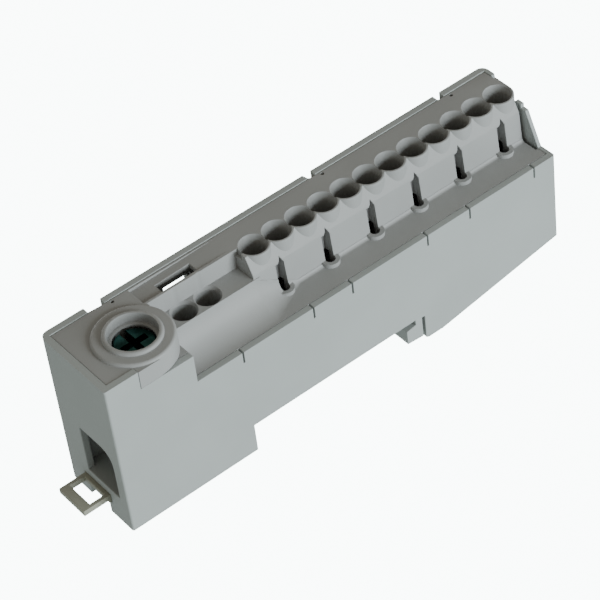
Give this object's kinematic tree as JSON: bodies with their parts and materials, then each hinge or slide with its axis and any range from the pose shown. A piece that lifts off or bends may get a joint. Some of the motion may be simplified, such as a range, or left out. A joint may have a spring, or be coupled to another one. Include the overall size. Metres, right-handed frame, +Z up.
{
  "type": "din rail terminal block",
  "caption": "Distribution terminal block that clips onto a mounting rail: a screw cage clamp at one end feeds a busbar with rows of push-in wire wells.",
  "frame": {"origin": "middle of the rail seat, on the face that rests on the rail's flanges", "axes": "+X along the block, across the rail, away from the end with the screw clamp; +Y towards the back side wall, along the rail; +Z up, away from the rail"},
  "size_m": [0.1004, 0.018, 0.0336],
  "materials": {
    "housing_plastic": "fine-textured moulded polyamide, light grey",
    "cover_plastic": "fine-textured moulded polyamide, light grey",
    "latch_plastic": "moulded polyamide, dark warm grey",
    "tinned_copper": "tin-plated stamped copper alloy",
    "cage_steel": "zinc-plated steel",
    "screw_steel": "dark zinc-plated steel with a passivated sheen",
    "spring_steel": "bright stainless spring steel"
  },
  "bodies": {
    "housing": {"housing_base": "housing_plastic", "housing_cover": "cover_plastic", "busbar": "tinned_copper", "latch_spring": "spring_steel"},
    "latch": {"rail_latch": "latch_plastic"},
    "screw": {"clamp_screw": "screw_steel"},
    "cage": {"clamp_cage": "cage_steel"},
    "wire_spring_01_leaf": {"wire_spring_01": "spring_steel"},
    "wire_spring_02_leaf": {"wire_spring_02": "spring_steel"},
    "wire_spring_03_leaf": {"wire_spring_03": "spring_steel"},
    "wire_spring_04_leaf": {"wire_spring_04": "spring_steel"},
    "wire_spring_05_leaf": {"wire_spring_05": "spring_steel"},
    "wire_spring_06_leaf": {"wire_spring_06": "spring_steel"},
    "wire_spring_07_leaf": {"wire_spring_07": "spring_steel"},
    "wire_spring_08_leaf": {"wire_spring_08": "spring_steel"},
    "wire_spring_09_leaf": {"wire_spring_09": "spring_steel"},
    "wire_spring_10_leaf": {"wire_spring_10": "spring_steel"},
    "wire_spring_11_leaf": {"wire_spring_11": "spring_steel"},
    "wire_spring_12_leaf": {"wire_spring_12": "spring_steel"},
    "feeder_spring_1_leaf": {"feeder_spring_1": "spring_steel"},
    "feeder_spring_2_leaf": {"feeder_spring_2": "spring_steel"}
  },
  "joints": [
    {"name": "latch_slide", "type": "slide", "parent": "housing", "child": "latch", "axis": [-1, 0, 0], "range_m": [0, 0.003], "stiffness_N_per_m": 800, "springref_m": -0.002, "deforming": ["latch_spring"]},
    {"name": "screw_turn", "type": "hinge", "parent": "housing", "child": "screw", "pos_m": [-0.03315, -0.0019, 0.02], "axis": [0, 0, 1], "range_deg": [-1720, 0]},
    {"name": "cage_lift", "type": "slide", "parent": "housing", "child": "cage", "axis": [0, 0, 1], "range_m": [0, 0.00597]},
    {"name": "wire_spring_01_flex", "type": "hinge", "parent": "housing", "child": "wire_spring_01_leaf", "pos_m": [-0.0061, -0.0047, 0.0138], "axis": [-1, 0, 0], "range_deg": [0, 20], "stiffness_Nm_per_rad": 0.05, "springref_deg": -11.46},
    {"name": "wire_spring_02_flex", "type": "hinge", "parent": "housing", "child": "wire_spring_02_leaf", "pos_m": [-0.00121, -0.0047, 0.0138], "axis": [-1, 0, 0], "range_deg": [0, 20], "stiffness_Nm_per_rad": 0.05, "springref_deg": -11.46},
    {"name": "wire_spring_03_flex", "type": "hinge", "parent": "housing", "child": "wire_spring_03_leaf", "pos_m": [0.00368, -0.0047, 0.0138], "axis": [-1, 0, 0], "range_deg": [0, 20], "stiffness_Nm_per_rad": 0.05, "springref_deg": -11.46},
    {"name": "wire_spring_04_flex", "type": "hinge", "parent": "housing", "child": "wire_spring_04_leaf", "pos_m": [0.00857, -0.0047, 0.0138], "axis": [-1, 0, 0], "range_deg": [0, 20], "stiffness_Nm_per_rad": 0.05, "springref_deg": -11.46},
    {"name": "wire_spring_05_flex", "type": "hinge", "parent": "housing", "child": "wire_spring_05_leaf", "pos_m": [0.01346, -0.0047, 0.0138], "axis": [-1, 0, 0], "range_deg": [0, 20], "stiffness_Nm_per_rad": 0.05, "springref_deg": -11.46},
    {"name": "wire_spring_06_flex", "type": "hinge", "parent": "housing", "child": "wire_spring_06_leaf", "pos_m": [0.01835, -0.0047, 0.0138], "axis": [-1, 0, 0], "range_deg": [0, 20], "stiffness_Nm_per_rad": 0.05, "springref_deg": -11.46},
    {"name": "wire_spring_07_flex", "type": "hinge", "parent": "housing", "child": "wire_spring_07_leaf", "pos_m": [0.02324, -0.0047, 0.0138], "axis": [-1, 0, 0], "range_deg": [0, 20], "stiffness_Nm_per_rad": 0.05, "springref_deg": -11.46},
    {"name": "wire_spring_08_flex", "type": "hinge", "parent": "housing", "child": "wire_spring_08_leaf", "pos_m": [0.02813, -0.0047, 0.0138], "axis": [-1, 0, 0], "range_deg": [0, 20], "stiffness_Nm_per_rad": 0.05, "springref_deg": -11.46},
    {"name": "wire_spring_09_flex", "type": "hinge", "parent": "housing", "child": "wire_spring_09_leaf", "pos_m": [0.03302, -0.0047, 0.0138], "axis": [-1, 0, 0], "range_deg": [0, 20], "stiffness_Nm_per_rad": 0.05, "springref_deg": -11.46},
    {"name": "wire_spring_10_flex", "type": "hinge", "parent": "housing", "child": "wire_spring_10_leaf", "pos_m": [0.03791, -0.0047, 0.0138], "axis": [-1, 0, 0], "range_deg": [0, 20], "stiffness_Nm_per_rad": 0.05, "springref_deg": -11.46},
    {"name": "wire_spring_11_flex", "type": "hinge", "parent": "housing", "child": "wire_spring_11_leaf", "pos_m": [0.0428, -0.0047, 0.0138], "axis": [-1, 0, 0], "range_deg": [0, 20], "stiffness_Nm_per_rad": 0.05, "springref_deg": -11.46},
    {"name": "wire_spring_12_flex", "type": "hinge", "parent": "housing", "child": "wire_spring_12_leaf", "pos_m": [0.04769, -0.0047, 0.0138], "axis": [-1, 0, 0], "range_deg": [0, 20], "stiffness_Nm_per_rad": 0.05, "springref_deg": -11.46},
    {"name": "feeder_spring_1_flex", "type": "hinge", "parent": "housing", "child": "feeder_spring_1_leaf", "pos_m": [-0.0217, -0.0047, 0.0138], "axis": [-1, 0, 0], "range_deg": [0, 20], "stiffness_Nm_per_rad": 0.05, "springref_deg": -11.46},
    {"name": "feeder_spring_2_flex", "type": "hinge", "parent": "housing", "child": "feeder_spring_2_leaf", "pos_m": [-0.01681, -0.0047, 0.0138], "axis": [-1, 0, 0], "range_deg": [0, 20], "stiffness_Nm_per_rad": 0.05, "springref_deg": -11.46}
  ],
  "couplings": [
    {"joint": "screw_turn", "follows": "cage_lift", "rad_per_m": -5026.5}
  ]
}
